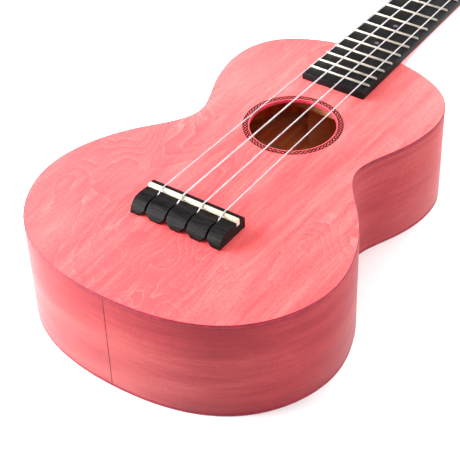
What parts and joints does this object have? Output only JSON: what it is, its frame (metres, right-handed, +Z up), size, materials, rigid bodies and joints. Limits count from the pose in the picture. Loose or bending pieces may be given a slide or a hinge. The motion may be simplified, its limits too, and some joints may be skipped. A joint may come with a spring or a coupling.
{
  "type": "concert ukulele",
  "caption": "Waisted small guitar-like instrument with a round sound hole, slotted bridge, fretted neck, nylon strings and geared tuning machines.",
  "frame": {"origin": "on the surface that the flat back rests on, under the middle of the overall length and width", "axes": "+Y along the body and neck towards the headstock, +Z up out of the soundboard, +X to the right seen from the front with the headstock away"},
  "size_m": [0.1916, 0.594, 0.0763],
  "materials": {
    "stained_soundboard": "pink stained figured wood under a thin satin lacquer",
    "stained_back": "pink stained wood under a thin satin lacquer",
    "stained_sides": "pink stained bent wood, grain along the length, satin lacquer",
    "stained_neck": "pink stained straight-grained wood, satin",
    "raw_inner_wood": "unfinished wood",
    "black_bridge": "black dyed hardwood, satin, faint grain",
    "black_fingerboard": "black dyed hardwood, satin, fine grain",
    "fret_wire": "polished nickel silver",
    "cream_saddle": "smooth cream, slightly translucent",
    "cream_nut": "smooth cream, slightly translucent",
    "nylon": "clear monofilament",
    "button_plastic": "polished black",
    "plated_plate": "nickel plated sheet",
    "plated_steel": "nickel plated steel",
    "brass_gear": "turned brass"
  },
  "bodies": {
    "instrument": {"back_brace_lower": "raw_inner_wood", "back_brace_upper": "raw_inner_wood", "back_lining_left": "raw_inner_wood", "back_lining_right": "raw_inner_wood", "back_plate": "stained_back", "bridge": "black_bridge", "bridge_patch": "raw_inner_wood", "fingerboard": "black_fingerboard", "fret_01": "fret_wire", "fret_02": "fret_wire", "fret_03": "fret_wire", "fret_04": "fret_wire", "fret_05": "fret_wire", "fret_06": "fret_wire", "fret_07": "fret_wire", "fret_08": "fret_wire", "fret_09": "fret_wire", "fret_10": "fret_wire", "fret_11": "fret_wire", "fret_12": "fret_wire", "fret_13": "fret_wire", "fret_14": "fret_wire", "fret_15": "fret_wire", "fret_16": "fret_wire", "neck": "stained_neck", "neck_block": "raw_inner_wood", "nut": "cream_nut", "saddle": "cream_saddle", "side_left": "stained_sides", "side_right": "stained_sides", "soundboard": "stained_soundboard", "soundboard_brace_lower": "raw_inner_wood", "soundboard_brace_upper": "raw_inner_wood", "soundboard_lining_left": "raw_inner_wood", "soundboard_lining_right": "raw_inner_wood", "string_a": "nylon", "string_c": "nylon", "string_e": "nylon", "string_g": "nylon", "tail_block": "raw_inner_wood", "tuner_a_plate": "plated_plate", "tuner_c_plate": "plated_plate", "tuner_e_plate": "plated_plate", "tuner_g_plate": "plated_plate"},
    "tuner_g_post_body": {"tuner_g_post": "plated_steel", "tuner_g_gear": "brass_gear"},
    "tuner_g_knob_body": {"tuner_g_worm_shaft": "plated_steel", "tuner_g_button": "button_plastic"},
    "tuner_c_post_body": {"tuner_c_post": "plated_steel", "tuner_c_gear": "brass_gear"},
    "tuner_c_knob_body": {"tuner_c_worm_shaft": "plated_steel", "tuner_c_button": "button_plastic"},
    "tuner_e_post_body": {"tuner_e_post": "plated_steel", "tuner_e_gear": "brass_gear"},
    "tuner_e_knob_body": {"tuner_e_worm_shaft": "plated_steel", "tuner_e_button": "button_plastic"},
    "tuner_a_post_body": {"tuner_a_post": "plated_steel", "tuner_a_gear": "brass_gear"},
    "tuner_a_knob_body": {"tuner_a_worm_shaft": "plated_steel", "tuner_a_button": "button_plastic"}
  },
  "joints": [
    {"name": "tuner_g_post_turn", "type": "hinge", "parent": "instrument", "child": "tuner_g_post_body", "pos_m": [-0.0165, 0.20789, 0.05875], "axis": [0, 0.1736, 0.9848], "continuous": true},
    {"name": "tuner_g_knob_turn", "type": "hinge", "parent": "instrument", "child": "tuner_g_knob_body", "pos_m": [-0.0165, 0.21152, 0.04156], "axis": [1, 0, 0], "continuous": true},
    {"name": "tuner_c_post_turn", "type": "hinge", "parent": "instrument", "child": "tuner_c_post_body", "pos_m": [-0.0165, 0.25122, 0.05111], "axis": [0, 0.1736, 0.9848], "continuous": true},
    {"name": "tuner_c_knob_turn", "type": "hinge", "parent": "instrument", "child": "tuner_c_knob_body", "pos_m": [-0.0165, 0.25485, 0.03392], "axis": [1, 0, 0], "continuous": true},
    {"name": "tuner_e_post_turn", "type": "hinge", "parent": "instrument", "child": "tuner_e_post_body", "pos_m": [0.0165, 0.25122, 0.05111], "axis": [0, 0.1736, 0.9848], "continuous": true},
    {"name": "tuner_e_knob_turn", "type": "hinge", "parent": "instrument", "child": "tuner_e_knob_body", "pos_m": [0.0165, 0.25485, 0.03392], "axis": [1, 0, 0], "continuous": true},
    {"name": "tuner_a_post_turn", "type": "hinge", "parent": "instrument", "child": "tuner_a_post_body", "pos_m": [0.0165, 0.20789, 0.05875], "axis": [0, 0.1736, 0.9848], "continuous": true},
    {"name": "tuner_a_knob_turn", "type": "hinge", "parent": "instrument", "child": "tuner_a_knob_body", "pos_m": [0.0165, 0.21152, 0.04156], "axis": [1, 0, 0], "continuous": true}
  ],
  "couplings": [
    {"joint": "tuner_g_post_turn", "follows": "tuner_g_knob_turn", "ratio": 0.071429},
    {"joint": "tuner_c_post_turn", "follows": "tuner_c_knob_turn", "ratio": 0.071429},
    {"joint": "tuner_e_post_turn", "follows": "tuner_e_knob_turn", "ratio": 0.071429},
    {"joint": "tuner_a_post_turn", "follows": "tuner_a_knob_turn", "ratio": 0.071429}
  ]
}
